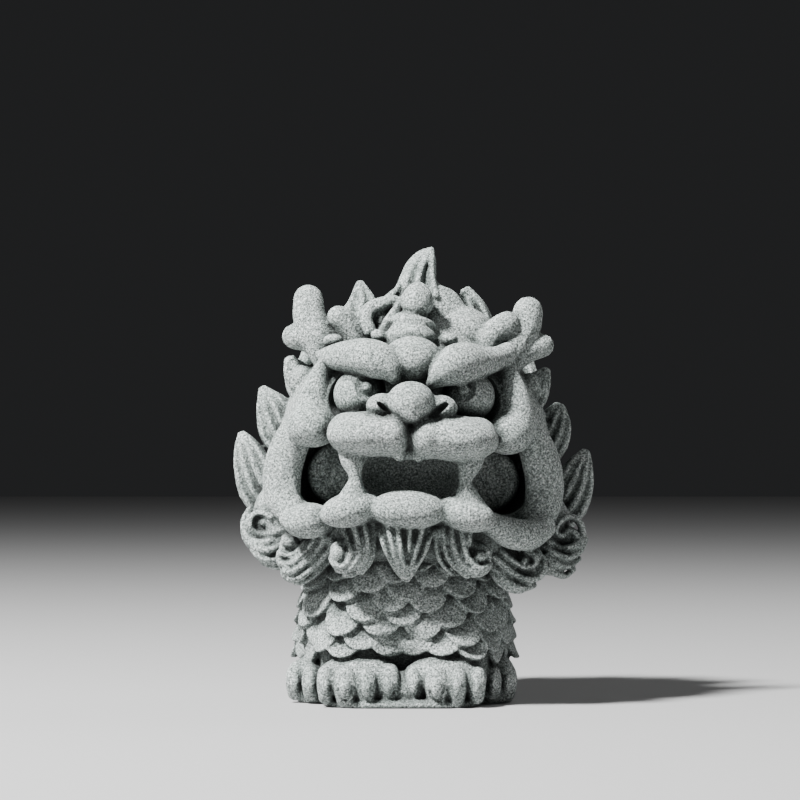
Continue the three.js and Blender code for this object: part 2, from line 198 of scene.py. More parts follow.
def resize(value, axes, middle):
    bpy.ops.transform.resize(
        value=value, orient_type="GLOBAL", orient_matrix=axes, orient_matrix_type="GLOBAL",
        center_override=middle,
    )


def limb(path, wide, thick=None, facing=(0, -1, 0), sides=12, steps=3, ends=0.8):
    """wide and thick are half widths at each point of the path; ends is how full the tips are."""
    rows = through([(*p, w, t) for p, w, t in zip(path, wide, thick or wide)], steps)
    facing = Vector(facing)
    rings = []
    for i, row in enumerate(rows):
        size = Vector((max(row[3], THINNEST), max(row[4], THINNEST)))
        rings.append((Vector(row[:3]), way_at(rows, i), size))
    first, last = rings[0], rings[-1]
    for angle in END_RINGS:
        out, in_ = math.sin(math.radians(angle)) * ends, math.cos(math.radians(angle))
        rings.insert(0, (first[0] - first[1] * min(first[2]) * out, first[1], first[2] * in_))
        rings.append((last[0] + last[1] * min(last[2]) * out, last[1], last[2] * in_))

    clear()
    here, way, size = rings[0]
    held = ring_frame(way, facing)
    bpy.ops.mesh.primitive_circle_add(
        vertices=sides, radius=1, fill_type="NGON", location=here, rotation=held.to_euler()
    )
    edit(bpy.context.object)
    resize(Vector((size.x, size.y, 1)), held, here)
    for place, way, new in rings[1:]:
        bpy.ops.mesh.extrude_region_move(TRANSFORM_OT_translate={"value": place - here})
        turned = ring_frame(way, facing)
        for axis, angle in zip("XYZ", (turned @ held.transposed()).to_euler()):
            if abs(angle) > 1e-5:
                bpy.ops.transform.rotate(value=-angle, orient_axis=axis, center_override=place)
        resize(Vector((new.x / size.x, new.y / size.y, 1)), turned, place)
        here, held, size = place, turned, new
    edited()
    bpy.ops.object.transform_apply()
    return bpy.context.object


# %% [markdown]
# ## Strands
#
# Carved hair is a bundle of round ridges with sharp valleys between them. One thin limb makes
# one ridge, so a lock is a soft cushion with strands laid over it. A displaced surface could
# show the ridges too, but each strand stays crisp and can be moved by itself. Where a strand's
# depth isn't known, a ray is sent from the viewer's side to find the cushion's surface, as a
# finger finds it. *Sheaf* lays a row of strands side by side that meet at a leaf's tip.

# %% Strands and sheaves
RAY_START = -80  # in front of all the stone
LEAF_CORE = 0.75  # how thick a leaf is under its strands, as a share of its full thickness
LEAF_SPREAD = 0.8  # how far out its outer strands lie, as a share of its half width
LEAF_FILL = 0.8  # how much of its part of the leaf a strand fills


def front_of(shape, x, z, shift, otherwise):
    """The depth of the shape's front at x and z, or another depth where the ray misses."""
    hit, place, _, _ = shape.ray_cast(Vector((x, RAY_START, z)), Vector((0, 1, 0)))
    return place.y + shift if hit else otherwise


def strand(points, radius, tip, steps=3):
    """A ridge through points, taller than it is wide so that its valleys stay open."""
    last = len(points) - 1
    sizes = [radius + (tip - radius) * (i / last) ** 1.4 for i in range(last + 1)]
    wide, tall = [r * 0.84 for r in sizes], [r * 1.3 for r in sizes]
    return limb(points, wide, tall, (0.05, -1, 0.03), sides=10, steps=steps, ends=1.0)


def sheaf(path, wide, thick, facing, count):
    """A leaf: a flat limb with strands over its front that run together at the tip."""
    made = [limb(path, wide, [t * LEAF_CORE for t in thick], facing, ends=0.6)]
    for k in range(count):
        u = (2 * k / (count - 1) - 1) * LEAF_SPREAD
        arch = math.sqrt(1 - u * u)
        points, sizes = [], []
        for i, here in enumerate(path):
            axes = ring_frame(way_at(path, i), Vector(facing))
            size = wide[i] * LEAF_FILL / count
            out = max(thick[i] * LEAF_CORE * arch - size * 0.1, 0)
            aside = axes.col[0] * u * (wide[i] - size * 0.6)
            points.append(Vector(here) + aside + axes.col[1] * out)
            sizes.append(max(size, 0.3))
        low, tall = [r * 0.85 for r in sizes], [r * 1.15 for r in sizes]
        made.append(limb(points, low, tall, facing, sides=10, ends=1.0))
    return made


# %% [markdown]
# ## Fusing and cutting
#
# Overlapping shapes become one stone with a voxel Remesh, which keeps only the outermost skin
# and rounds each valley a little, as casting does. A Boolean would keep the edges sharp, which
# is right only for hollows, so hollows are cut with one.

# %% Fusing and cutting
def use(shape, kind, **settings):
    """Gives a shape one modifier and applies it."""
    pick(shape)
    tool = shape.modifiers.new(kind.title(), kind)
    for name, value in settings.items():
        setattr(tool, name, value)
    bpy.ops.object.modifier_apply(modifier=tool.name)
    return shape


def face_out(shape):
    edit(shape)
    bpy.ops.mesh.normals_make_consistent(inside=False)
    return edited()


def fuse(shapes, name, voxel):
    made = face_out(gather(shapes, name))
    return use(made, "REMESH", mode="VOXEL", voxel_size=voxel, use_smooth_shade=True)


def cut(shape, *hollows):
    tool = face_out(gather(list(hollows), "hollow"))
    use(shape, "BOOLEAN", operation="DIFFERENCE", object=tool, solver="EXACT")
    bpy.data.objects.remove(tool)
    return shape


def soften(shape, offset, segments):
    """Rounds every edge of a shape."""
    edit(shape)
    bpy.ops.mesh.bevel(offset=offset, segments=segments, affect="EDGES")
    return edited()


# %% [markdown]
# ## The head's great ball and its mouth
#
# The head is one great ball with a jaw and jowls under it. It could be sculpted from a single
# sphere, but balls that are fused keep each mass easy to move. The mouth is cut right across
# it with a rounded block. Then the throat bulges forward again inside, with a dark channel all
# round it and a hollow in its middle, and a socket is scooped out for each eye.

# %% The skull
SKULL = {"middle": (0, 0, 57), "radii": (29.5, 28, 27)}
MOUTH = {"half_width": 25.5, "low": 41.5, "high": 56.5, "corner": 6.0, "back": 3.0, "half_depth": 30}
SOCKETS = {-1: (-12.9, -22.2, 66.2), 1: (11.8, -22.2, 66.6)}


def mouth_block():
    low, high = MOUTH["low"], MOUTH["high"]
    clear()
    bpy.ops.mesh.primitive_cube_add(
        size=2, location=(0, MOUTH["back"] - MOUTH["half_depth"], (low + high) / 2)
    )
    block = bpy.context.object
    block.scale = (MOUTH["half_width"], MOUTH["half_depth"], (high - low) / 2)
    bpy.ops.object.transform_apply()
    return soften(block, MOUTH["corner"], 6)


skull = fuse(
    [
        ball(**SKULL, fine=64),
        ball((0, -8, 38), (27, 20, 9.5), fine=48),
        *(ball(mirror(s, (24.5, -3, 39.5)), (10.5, 11, 9.5), fine=32) for s in SIDES),
    ],
    "skull", 0.9,
)
cut(skull, mouth_block())
cut(skull, *(ball(beside(s, (13.4, -27, 67.2)), (8.4, 7.5, 7), fine=32) for s in SIDES))
cut(skull, *(ball(SOCKETS[s], (6.7, 7.4, 6.7), fine=32) for s in SIDES))
print("skull:", len(skull.data.polygons), "faces")

# %% The throat
THROAT = (23.4, 12, 6)  # its half width, half height and half depth


def throat_drum():
    """A broad drum with a soft rim; the ball that it is fused with domes it a little towards the lips."""
    clear()
    bpy.ops.mesh.primitive_cylinder_add(
        vertices=64, radius=1, depth=2, location=(0, 0, 49), rotation=(math.pi / 2, 0, 0)
    )
    drum = bpy.context.object
    drum.scale = THROAT
    bpy.ops.object.transform_apply()
    return soften(drum, 1.4, 3)


throat = fuse([throat_drum(), ball((0, 2, 49), (21, 10.8, 11), fine=48)], "throat", 0.7)
cut(throat, ball((FACE, -12, 49.2), (11.8, 12, 6.6), fine=32))
head = [skull, throat]
print("throat:", len(throat.data.polygons), "faces")

# %% [markdown]
# ## Eyes, brows and nose
#
# The eyes are balls deep under the brows, each with a small disc in a cut ring for the pupil,
# looking up and inwards. The brows frown: they start high at the temple and come down beside
# the nose. On the figure's left the brow ends in a knob that turns up. The nose is a ball with
# a wing and a nostril on each side, over two puffed pads. All of these could be drawn out of
# the skull's own faces, but as shapes of their own they can be set against the photo.

# %% Eyes
EYES = {
    -1: {"globe": (-12.5, -20.6, 66.3), "pupil": (-10.7, -25.3, 68.0)},
    1: {"globe": (11.4, -20.6, 66.8), "pupil": (9.9, -25.3, 68.2)},
}
EYE_RADIUS = 5.4
PUPIL_RADIUS = 1.25
PUPIL_RING = {"radius": 1.95, "thick": 0.8}


def hoop(middle, facing, radius, thick):
    clear()
    turn = Vector(facing).to_track_quat("Z", "Y").to_euler()
    bpy.ops.mesh.primitive_torus_add(
        location=middle, rotation=turn, major_radius=radius, minor_radius=thick,
        major_segments=24, minor_segments=8,
    )
    bpy.ops.object.transform_apply()
    return bpy.context.object


def eye(side):
    globe = ball(EYES[side]["globe"], [EYE_RADIUS] * 3, fine=40)
    pupil = EYES[side]["pupil"]
    cut(globe, hoop(pupil, (side * -0.25, -1, 0.25), **PUPIL_RING))
    return [globe, ball(pupil, (PUPIL_RADIUS, 1.0, PUPIL_RADIUS), fine=16)]


for s in SIDES:
    head += eye(s)

# %% Brows
BROW_RIGHT = {
    "path": [(-21.4, -14.5, 74.6), (-18, -18.4, 74.2), (-14.6, -21.6, 74.4), (-11.3, -24.3, 74.3),
        (-8.2, -26.2, 73.5), (-6.0, -27.2, 71.8), (-4.8, -27.8, 69.8)],
    "wide": [0.8, 2.7, 3.5, 4.0, 4.0, 3.1, 1.4],
    "thick": [1.4, 3.2, 4.0, 4.6, 4.6, 3.6, 2.0],
}
BROW_LEFT = {
    "path": [(2.9, -28.6, 69.0), (5.2, -27.6, 71.4), (8.0, -25.4, 73.3), (11.0, -23, 74.0),
        (14.0, -20.6, 74.4), (17.0, -18, 75.3), (19.3, -16.2, 76.8)],
    "wide": [1.2, 3.2, 4.5, 4.3, 3.3, 2.6, 2.2],
    "thick": [2.0, 3.6, 4.6, 4.4, 3.8, 3.0, 2.4],
}
for brow in (BROW_RIGHT, BROW_LEFT):
    head.append(limb(**brow, facing=(0, -1, 0.2), sides=20, steps=4))

# %% Nose and forehead
WINGS = {-1: (-7.6, -31, 64.2), 1: (5.6, -31, 64.3)}
NOSTRILS = [
    {"middle": (-7.1, -34, 63.7), "radii": (1.7, 2.4, 0.55), "turn": (0, 40, 0)},
    {"middle": (4.9, -33.8, 63.7), "radii": (2.3, 2.6, 0.75), "turn": (0, -38, 0)},
]
nose = fuse(
    [
        ball((FACE, -32.0, 65.0), (5.1, 5.9, 4.4), fine=32),
        ball((FACE, -33.2, 63.0), (3.0, 4.2, 2.6), fine=24),
        *(ball(WINGS[s], (3.2, 3.4, 2.4), (0, s * 14, 0), fine=24) for s in SIDES),
    ],
    "nose", 0.3,
)
cut(nose, *(ball(**nostril, fine=20) for nostril in NOSTRILS))
head += [nose, ball((FACE, -23.0, 74.2), (6.5, 6.4, 5.0), fine=32)]

# %% The pads under the nose
PADS = {
    -1: {"middle": (-9.6, -28, 57.9), "radii": (9.4, 9.2, 4.9), "turn": (0, -1, 6)},
    1: {"middle": (8.3, -28, 57.7), "radii": (9.6, 9.3, 5.0), "turn": (0, 3, -6)},
}
SEAM_ENDS = {-1: (-4.9, -28.2, 58.0), 1: (2.7, -28.2, 57.9)}  # their blunt inner ends
OUTER_ENDS = {-1: (-14.3, -26.6, 58.0), 1: (13.0, -26.6, 58.0)}  # and their blunt outer ends
for s in SIDES:
    parts = [
        ball(**PADS[s], fine=40),
        ball(SEAM_ENDS[s], (4.4, 9.0, 5.0), fine=32),
        ball(OUTER_ENDS[s], (4.6, 6.2, 4.5), fine=32),
    ]
    head.append(use(fuse(parts, "pad", 0.5), "SMOOTH", factor=0.5, iterations=14))
print("eyes, brows and nose:", len(head), "shapes")

# %% [markdown]
# ## Teeth, lips and cheeks
#
# Two small front teeth show under the pads. A fang on each side is thick at the gum, thin in
# the middle and thick again where it meets the lower lip. The lip runs in five lobes. A round
# cheek sits over each corner of the mouth, a strap of skin comes down to it from the brow,
# and a thick rim runs round the corner like a funnel. Lips and cheeks are soft, so their parts
# are fused by themselves and smoothed until they flow together, which would blur the rest.

# %% Teeth
FANGS = [
    [(-13.3, -27.5, 55.5), (-13, -28.6, 51.8), (-12.4, -29, 48.7), (-12.5, -28.8, 45.8), (-12.8, -28, 42.5)],
    [(11.9, -27.5, 55.5), (11.6, -28.6, 51.8), (11.0, -29, 48.8), (11.3, -28.8, 46), (12.0, -28, 42.5)],
]
FANG = {"wide": [3.5, 2.6, 1.35, 2.5, 4.2], "thick": [3.3, 2.6, 1.8, 2.8, 4.2]}
for path in FANGS:
    head.append(limb(path, **FANG, sides=16, steps=4))
head.append(ball((FACE, -25, 54.6), (7, 6, 1.9), fine=32))
for s in SIDES:
    head.append(ball(beside(s, (2.0, -30.6, 54.2)), (1.5, 1.8, 1.9), fine=16))

# %% Lips
LIP_ROLL = [
    (-26.6, -15.7, 39), (-20, -21.7, 39.4), (-13.8, -25.6, 40.8),
    (FACE, -27.6, 41.6), (11, -25.6, 41.2), (15.5, -24.2, 40.2),
]
LIP_LOBES = [
    {"middle": (-0.9, -29.8, 42.2), "radii": (8.3, 5.3, 4.2)},
    {"middle": (-13.2, -28.2, 41.7), "radii": (6.7, 5.2, 3.7), "turn": (0, -14, 14)},
    {"middle": (-22.2, -22.5, 38.9), "radii": (5.6, 5.6, 3.9), "turn": (0, -4, 36)},
    {"middle": (11.3, -28.3, 41.7), "radii": (6.6, 5.2, 3.7), "turn": (0, 12, -14)},
]
LIP_END = {
    "path": [(15.6, -25.6, 40.3), (20.5, -22.9, 38.1), (25, -19.3, 37.6), (28.6, -15, 39.4)],
    "wide": [2.4, 3.3, 3.4, 2.8],
}
lips = [
    limb(LIP_ROLL, [2.4] * len(LIP_ROLL), facing=(0, -1, 0.1), sides=16),
    limb(**LIP_END, sides=20, steps=4),
    *(ball(**lobe, fine=32) for lobe in LIP_LOBES),
]
head.append(use(fuse(lips, "lips", 0.4), "SMOOTH", factor=0.5, iterations=2))

# %% Cheeks, straps and rims
STRAPS = {
    -1: [(-18.6, -15.4, 74.4), (-20.4, -15.8, 71.0), (-21.8, -16.4, 66.2), (-22.0, -16.8, 61.4)],
    1: [(18.6, -14.8, 75.6), (19.8, -15.8, 71.6), (21.0, -16.6, 67.0), (21.6, -16.8, 62.2)],
}
STRAP = {"wide": [2.1, 2.3, 3.5, 4.8], "thick": [2.8, 3.2, 4.2, 5.0]}
RIM = {
    "path": [(24, -14.5, 61), (27, -12.6, 55), (28.6, -11.2, 48.8), (28, -12.2, 43), (25, -15.5, 39.6)],
    "wide": [3.4, 4.4, 4.6, 4.2, 2.8],
    "thick": [3.4, 3.6, 3.6, 3.6, 2.8],
}
for s in SIDES:
    path = [mirror(s, p) for p in RIM["path"]]
    flesh = fuse(
        [
            ball(beside(s, (20.9, -19.4, 59.2)), (5.7, 5.9, 4.7), (0, 0, s * 30), fine=32),
            limb(STRAPS[s], **STRAP, facing=(0.4 * s, -1, 0), sides=20, steps=4),
            limb(path, RIM["wide"], RIM["thick"], (0.6 * s, -1, 0), sides=20, steps=4),
        ],
        "flesh", 0.7,
    )
    use(flesh, "SMOOTH", factor=0.5, iterations=10)
    head.append(cut(flesh, ball(SOCKETS[s], (6.5, 7.4, 6.6), fine=32)))
print("face:", len(head), "shapes")

# %% [markdown]
# ## The beard
#
# The beard is a pointed tuft with three curled locks on each side. Each lock is a cushion with
# a bead at its heart and strands that sweep down from under the lip and curl round the bead.
# The two sides aren't alike on the real figure: on its left the innermost curls turn back into
# hooks. So the strands are given one by one, as seen from the front, and drop on the cushion.

# %% Cushions for the locks
LOCKS = [
    {"bead": (14.9, -25.2, 32.8), "radius": 2.0, "turns": (75, -145), "reach": (9, 4.4, 3.2, 3, 2.4),
     "wide": (2.6, 3.0, 2.4, 1.6, 0.7), "thick": (1.9, 1.9, 1.6, 1.3), "facing": (0.15, -1, -0.2)},
    {"bead": (26, -16.7, 33), "radius": 2.1, "turns": (50, -150), "reach": (9, 5.6, 4.4, 3.9, 2.4),
     "wide": (2.8, 3.4, 2.9, 2.0, 0.7), "thick": (2.1, 2.1, 1.9, 1.4), "facing": (0.5, -1, -0.2)},
    {"bead": (33.2, -7.7, 37.3), "radius": 2.3, "turns": (20, -245), "reach": (7, 6, 3.6, 2.5, 2),
     "wide": (3.3, 3.5, 1.9, 1.1, 0.6), "thick": (2.8, 2.8, 2.5, 1.8, 1.4), "facing": (0.6, -1, -0.1)},
]
LOCK_POINTS = 7  # on the path of each cushion


def along(values, t):
    place = min(t, 1) * (len(values) - 1)
    i = min(int(place), len(values) - 2)
    return values[i] + (values[i + 1] - values[i]) * (place - i)


def cushion(side, lock):
    bead, path, wide, thick = lock["bead"], [], [], []
    for i in range(LOCK_POINTS):
        t = i / (LOCK_POINTS - 1)
        turn, reach = math.radians(along(lock["turns"], t)), along(lock["reach"], t)
        place = (bead[0] - reach * math.cos(turn), bead[1], bead[2] + reach * math.sin(turn))
        path.append(mirror(side, place))
        wide.append(along(lock["wide"], t))
        thick.append(along(lock["thick"], t))
    made = limb(path, wide, thick, mirror(side, lock["facing"]), steps=2)
    heart = ball(mirror(side, bead), (lock["radius"] + 0.4, 1.5, lock["radius"] + 0.4))
    return gather([made, heart], "cushion")


# %% Strands of the locks: which cushion, the radius, and x and z of each point from the front
RIGHT_STRANDS = [
    (0, 0.95, [(-14.3, 37.9), (-13.4, 35.2), (-12.7, 32.9), (-13.3, 30.7), (-14.8, 29.5), (-16.3, 30.0)]),
    (0, 0.95, [(-12.4, 38.9), (-11.4, 35.7), (-10.9, 32.8), (-11.7, 30.4), (-13.5, 28.7), (-15.5, 28.7)]),
    (0, 0.95, [(-10.2, 39.1), (-9.4, 35.8), (-9.3, 32.6), (-10.3, 30.0), (-12.0, 28.0), (-13.9, 27.6)]),
    (0, 0.9, [(-8.4, 39.0), (-7.8, 35.9), (-7.9, 33.3), (-8.8, 30.5), (-10.3, 28.4)]),
    (1, 0.95, [(-22.3, 34.9), (-24.0, 32.7), (-26.1, 31.0), (-27.9, 31.5)]),
    (1, 1.0, [(-20.4, 35.4), (-21.8, 33.2), (-23.9, 30.9), (-25.9, 29.3), (-27.9, 29.4)]),
    (1, 1.0, [(-18.3, 36.1), (-19.3, 33.7), (-21.1, 31.3), (-23.4, 29.0), (-25.5, 27.6), (-27.0, 27.8)]),
    (1, 1.0, [(-16.8, 35.5), (-17.3, 33.3), (-19.2, 30.8), (-21.4, 28.4), (-23.7, 26.5), (-25.9, 26.2)]),
    (1, 0.9, [(-16.8, 31.2), (-18.7, 29.1), (-20.7, 27.1), (-22.8, 25.7), (-24.3, 25.3)]),
    (2, 1.0, [(-26.7, 37.2), (-30.1, 35.7), (-32.7, 35.1), (-34.7, 35.9), (-35.3, 38.0), (-34.0, 39.7),
        (-32.0, 39.9), (-30.4, 38.9)]),
    (2, 0.95, [(-26.4, 35.8), (-29.0, 34.5), (-31.8, 33.5), (-34.4, 33.8), (-36.2, 35.2), (-36.7, 38.0),
        (-35.7, 40.4)]),
    (2, 0.95, [(-28.3, 33.1), (-30.8, 31.9), (-33.5, 32.2), (-35.6, 33.7)]),
    (2, 0.95, [(-28.8, 30.0), (-30.8, 29.9), (-33.0, 30.5), (-34.5, 31.9)]),
    (2, 0.9, [(-28.5, 28.2), (-30.3, 28.4), (-31.8, 29.0)]),
]
LEFT_STRANDS = [
    (0, 0.85, [(5.0, 38.0), (5.2, 34.6), (6.6, 31.3), (8.8, 29.0)]),
    (0, 0.95, [(6.5, 38.6), (7.1, 35.1), (8.5, 31.8), (10.5, 29.7), (12.2, 28.5)]),
    (0, 0.95, [(8.5, 38.6), (9.0, 35.2), (10.2, 32.3), (11.9, 30.2), (14.1, 29.1)]),
    (0, 0.95, [(10.6, 38.5), (11.0, 35.7), (11.8, 33.0), (13.4, 30.9), (15.1, 30.3), (16.5, 31.0)]),
    (0, 0.8, [(12.3, 38.3), (12.3, 35.3), (13.2, 35.5), (14.9, 35.2), (16.4, 34.1), (16.7, 32.5)]),
    (1, 0.95, [(19.5, 34.1), (21.2, 32.5), (23.5, 30.9), (25.6, 30.6), (27.1, 31.7), (26.5, 33.4),
        (24.6, 34.1)]),
    (1, 1.0, [(18.2, 32.8), (20.4, 30.7), (22.7, 28.9), (25.3, 28.0), (27.8, 28.6), (29.0, 30.6),
        (28.5, 32.7)]),
    (1, 1.0, [(17.6, 31.0), (19.7, 28.9), (21.9, 27.0), (24.5, 26.1), (26.7, 26.6)]),
    (1, 0.95, [(17.9, 28.9), (19.7, 27.0), (22.2, 25.6), (24.1, 25.5)]),
    (2, 1.0, [(29.7, 36.4), (32.3, 34.8), (35.4, 35.1), (37.4, 37.3), (36.9, 40.1), (35.1, 41.5),
        (33.0, 41.1), (31.5, 39.7), (31.4, 38.0), (32.9, 37.2)]),
    (2, 0.95, [(29.1, 35.0), (31.5, 33.4), (34.2, 32.8), (36.8, 34.1), (38.2, 36.7)]),
    (2, 0.95, [(29.6, 32.9), (32.1, 31.2), (34.7, 30.9), (36.9, 32.5)]),
    (2, 0.95, [(29.9, 30.7), (31.7, 29.3), (33.9, 28.7), (35.8, 30.1)]),
]
STRAND_ROOT, STRAND_TIP = 1.12, 0.8  # the ends of a strand, as shares of its radius
BEADS = {  # x and z of each lock's bead, and its half width and half height
    -1: [(-15.4, 32.2, 1.62, 1.89), (-26.2, 34.3, 1.89, 1.44), (-32.2, 37.8, 0.99, 0.99)],
    1: [(14.8, 32.8, 1.44, 1.35), (24.7, 32.2, 1.08, 0.99), (33.6, 38.2, 0.9, 0.81)],
}
LOW_CURLS = {  # under the middle lock
    -1: {"middle": (-25, -17.2, 27.6), "radii": (3.0, 2.2, 2.4)},
    1: {"middle": (22.8, -17.2, 27.4), "radii": (3.4, 2.2, 2.4)},
}
OUTER_CURL = (30.6, -9.4, 31.8)  # under the outer lock

# %% Lay the strands on the cushions
for s, strands in ((-1, RIGHT_STRANDS), (1, LEFT_STRANDS)):
    cushions = [cushion(s, lock) for lock in LOCKS]
    cushions[1] = gather([cushions[1], ball(**LOW_CURLS[s])], "cushion")
    cushions[2] = gather([cushions[2], ball(mirror(s, OUTER_CURL), (3.8, 2.8, 3.2))], "cushion")
    for which, radius, places in strands:
        deepest = LOCKS[which]["bead"][1] + 0.4
        points = []
        for x, z in places:
            on_cushion = front_of(cushions[which], x, z, -0.35, deepest)
            on_skull = front_of(skull, x, z, 0.1, deepest)
            points.append((x, min(on_cushion, on_skull, deepest), z))
        head.append(strand(points, radius * STRAND_ROOT, radius * STRAND_TIP))
    for (x, z, half_width, half_height), lock in zip(BEADS[s], LOCKS):
        head.append(ball((x, lock["bead"][1] - 1.2, z), (half_width, 1.9, half_height), fine=20))
    head += cushions
print("locks done:", len(head), "shapes")

# %% The tuft in the middle
TUFT = {
    "path": [(FACE, -27.8, 42), (FACE, -28, 35), (-1.0, -26, 30.6), (-1.3, -24, 27.4)],
    "wide": [5.2, 5.2, 3.2, 0.8],
    "thick": [2.2, 2.4, 1.6, 0.7],
}
TUFT_STRANDS = [
    [(-7.1, 39.1), (-6.1, 35.5), (-4.7, 32.2), (-3.1, 29.3), (-1.6, 27.4)],
    [(-5.1, 38.7), (-4.2, 35.6), (-3.2, 32.2), (-2.2, 29.5), (-1.1, 27.2)],
    [(-3.0, 38.2), (-2.4, 35.2), (-1.8, 32.3), (-1.2, 29.5), (-0.8, 27.0)],
    [(-0.6, 37.9), (-0.4, 35.3), (-0.4, 33.4)],
    [(2.1, 38.4), (1.5, 35.4), (0.8, 32.4), (-0.1, 29.6), (-0.6, 27.0)],
    [(4.1, 38.7), (3.6, 35.9), (2.7, 32.9), (1.3, 30.1), (-0.2, 27.2)],
]
TUFT_BACK = -25.6  # the depth of a strand where it runs past the cushion
tuft = limb(**TUFT, sides=16, steps=4)
for places in TUFT_STRANDS:
    points = [(x, front_of(tuft, x, z, -0.4, TUFT_BACK), z) for x, z in places]
    head.append(strand(points, 0.85, 0.45))
head.append(tuft)

# %% [markdown]
# ## The mane of flames
#
# The mane stands out behind the face like flames: three leaves on each side, two on top, and
# rows of them on the back of the head. Each is a sheaf with a few broad veins. A flat sheet
# with a Solidify modifier would be an even slab, and a carved leaf swells in its middle.

# %% The mane
SIDE_FLAMES = {
    -1: [
        {"path": [(-24, 2, 38), (-32.4, 2, 44), (-35.4, 2, 49.4), (-37.2, 2.6, 54), (-38.4, 3.6, 57.2)],
         "wide": [4, 5.6, 4.8, 3.2, 0.9]},
        {"path": [(-23, 2, 51), (-28.6, 1, 57.6), (-31.6, 1.6, 62.8), (-34.2, 2.6, 67.4)],
         "wide": [4, 5.8, 4.4, 0.9]},
        {"path": [(-19, -3, 62), (-24.4, -4, 67.6), (-26.8, -4, 71.4), (-28.6, -3.6, 74)],
         "wide": [3.6, 4.2, 2.9, 0.9]},
    ],
    1: [
        {"path": [(24, 2, 38), (32.6, 2, 43.6), (35.6, 2, 48.6), (37, 3, 52.8), (38.1, 4, 56.2)],
         "wide": [4, 5.8, 5.0, 3.3, 1.0]},
        {"path": [(23, 2, 51), (28.4, 1, 57.2), (30.8, 1.6, 62), (31.9, 2.6, 66.2)],
         "wide": [4, 5.4, 4.4, 1.4]},
        {"path": [(19, -3, 62), (24.6, -4, 67.6), (26.9, -4, 71), (28.4, -3.6, 73.8)],
         "wide": [3.6, 4.2, 2.9, 0.9]},
    ],
}
TOP_FLAMES = [
    {"path": [(-10.5, 5, 76), (-13.0, 6.4, 82.5), (-12.8, 7.4, 87.4), (-13.6, 8.2, 92.0)],
     "wide": [5, 5.0, 3.5, 0.8]},
    {"path": [(8.8, 4, 76), (11.4, 5, 82.2), (11.4, 6, 86.8), (10.2, 7, 91.2)],
     "wide": [5.4, 5.6, 3.9, 1.3]},
]
RIM_STRANDS = [  # the raised outer rims of some leaves
    ([(10.6, 5.4, 91.0), (13.2, 4.2, 88.2), (15.2, 3.4, 84.4), (16.2, 2.6, 80.4)], 1.0),
    ([(-26.6, -4.6, 66.4), (-28.4, -5.0, 69.4), (-28.7, -4.8, 72.4), (-27.4, -4.6, 74.2)], 0.9),
    ([(27.2, -4.6, 66.8), (28.6, -5.0, 69.6), (28.8, -4.8, 72.2), (28.2, -4.6, 73.8)], 0.8),
]
FLAME_THICK = {5: [3, 3.4, 2.8, 1.8, 0.9], 4: [3, 3.4, 2.6, 0.9]}  # for paths of 5 and 4 points
for s in SIDES:
    for leaf in SIDE_FLAMES[s]:
        head += sheaf(**leaf, thick=FLAME_THICK[len(leaf["path"])], facing=(0.35 * s, -1, 0.1), count=4)
for leaf in TOP_FLAMES:
    head += sheaf(**leaf, thick=FLAME_THICK[4], facing=(0, -1, 0.1), count=3)

for points, radius in RIM_STRANDS:
    head.append(strand(points, radius, radius * 0.7, steps=4))
for s in SIDES:
    head.append(ball(mirror(s, (24.4, -6.2, 70.0)), (2.6, 2.4, 2.9), (0, s * 30, 0), fine=20))

# %% Rows of flames on the back of the head
BACK_ROWS = [  # how high each row stands, and the turn of each flame from straight back
    {"rise": 56, "turns": (-36, 0, 36)},
    {"rise": 22, "turns": (-60, -30, 0, 30, 60)},
    {"rise": -10, "turns": (-50, -17, 17, 50)},
]
BACK_FLAME = {  # shares of its length along the head and across it, then lengths of its own
    "length": 17, "up": (-0.4, 0.05, 0.4, 0.75), "wide": (0.24, 0.4, 0.32, 0.06),
    "lift": (-3, 0.3, 1.8, 4.7), "thick": (2.6, 2.8, 2.1, 0.9),
}


def back_flame(turn, rise):
    a, e = math.radians(turn), math.radians(rise)
    out = Vector((math.sin(a) * math.cos(e), math.cos(a) * math.cos(e), math.sin(e)))
    root = Vector([o * r + m for o, r, m in zip(out, SKULL["radii"], SKULL["middle"])])
    up = (Vector((0, 0, 1)) - out * out.z).normalized()
    length = BACK_FLAME["length"]
    steps = zip(BACK_FLAME["up"], BACK_FLAME["lift"])
    path = [root + up * share * length + out * lift for share, lift in steps]
    wide = [share * length for share in BACK_FLAME["wide"]]
    return sheaf(path, wide, BACK_FLAME["thick"], out, 4)


for row in BACK_ROWS:
    for turn in row["turns"]:
        head += back_flame(turn, row["rise"])
print("mane done:", len(head), "shapes")

# %% [markdown]
# ## Antlers, horn and crest
#
# Each antler has a tall tine with round knuckles, an outer knob and an inner tine. The short
# horn is a stem with two rings under a knob like a drop. Spin could turn such a stem, but only
# about a straight axis, and this one bends back, so it is a limb whose width is given ring by
# ring. Behind it a crest of hair twists up to the highest point, and a lock of hair curls
# forward on each side of the horn.

